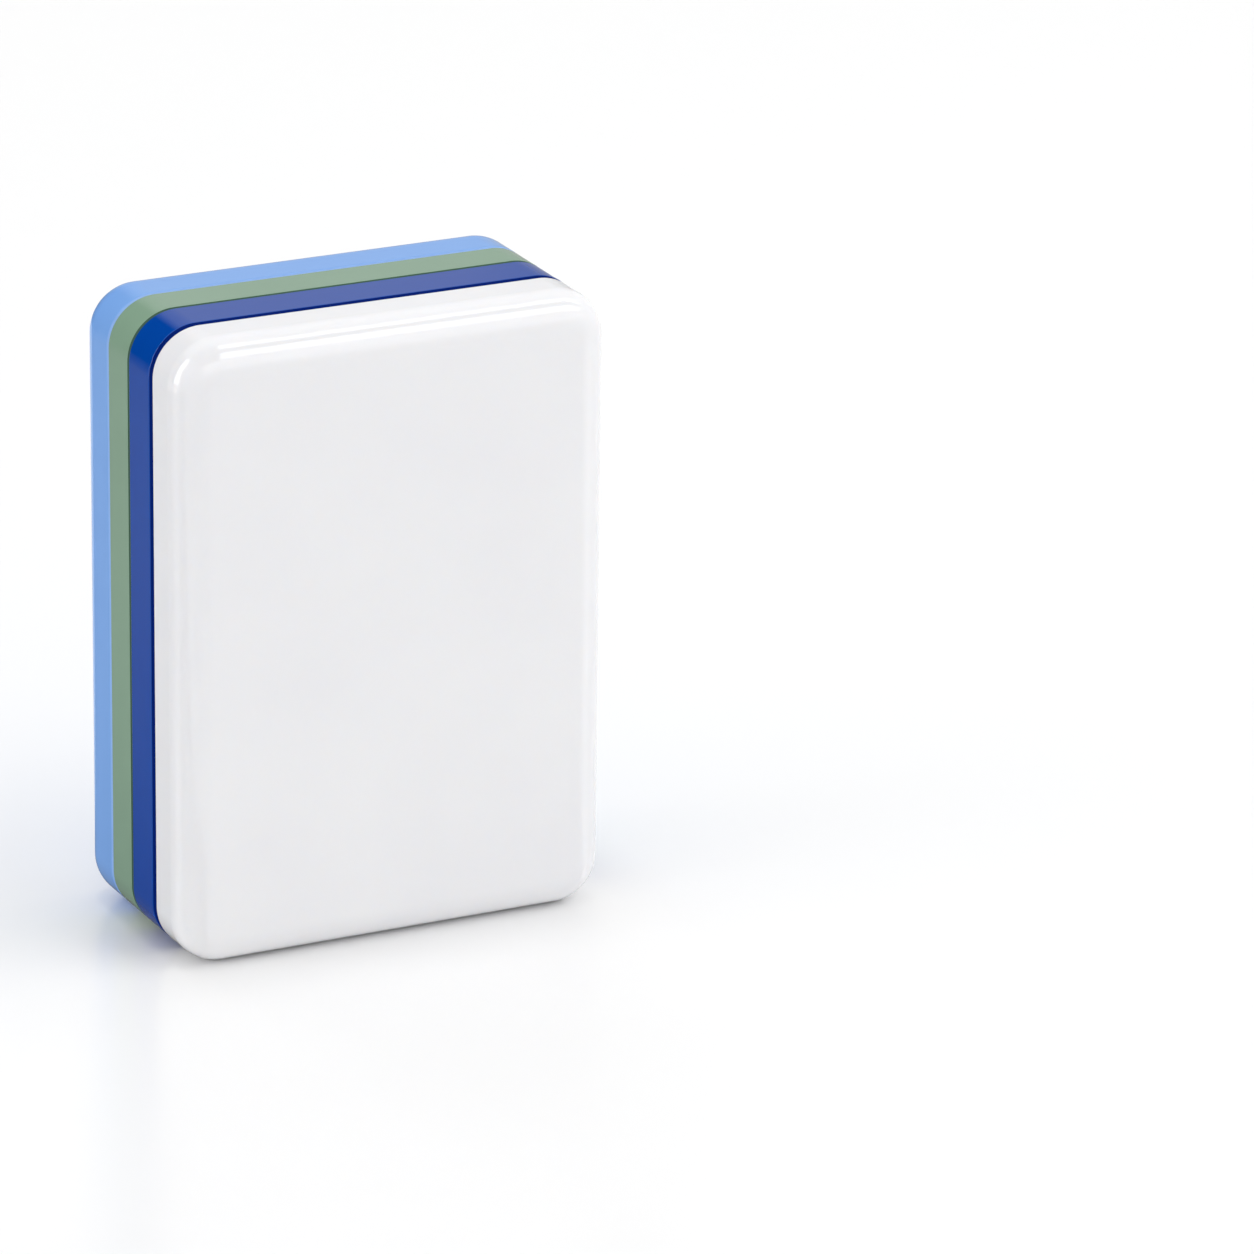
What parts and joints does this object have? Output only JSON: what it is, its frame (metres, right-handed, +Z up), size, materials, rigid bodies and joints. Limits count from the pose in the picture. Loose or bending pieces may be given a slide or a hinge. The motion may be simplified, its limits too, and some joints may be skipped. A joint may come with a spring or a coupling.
{
  "type": "mahjong tile",
  "caption": "Blank mahjong tile with a white face on navy, sage green and light blue slabs, cemented face to face, with rounded corners and edges, made to stand, lie and stack.",
  "frame": {"origin": "middle of the footprint of the standing tile, on the surface that it stands on", "axes": "+Z up along the tile's height, -Y out of the white face, +Y out of the light blue back, +X to the right seen from the face"},
  "size_m": [0.0216, 0.0116, 0.03],
  "materials": {
    "white_resin": "polished",
    "navy_resin": "polished",
    "sage_resin": "polished",
    "light_blue_resin": "polished",
    "navy_cement": "cured, tinted dark navy, in the seam behind the face slab",
    "green_cement": "cured, tinted dark green, in the seam between the middle slabs",
    "blue_cement": "cured, tinted light blue, in the seam before the back slab"
  },
  "bodies": {
    "root": {"face_slab": "white_resin", "face_cement_film": "navy_cement", "navy_slab": "navy_resin", "core_cement_film": "green_cement", "green_slab": "sage_resin", "back_cement_film": "blue_cement", "back_slab": "light_blue_resin"}
  },
  "joints": []
}
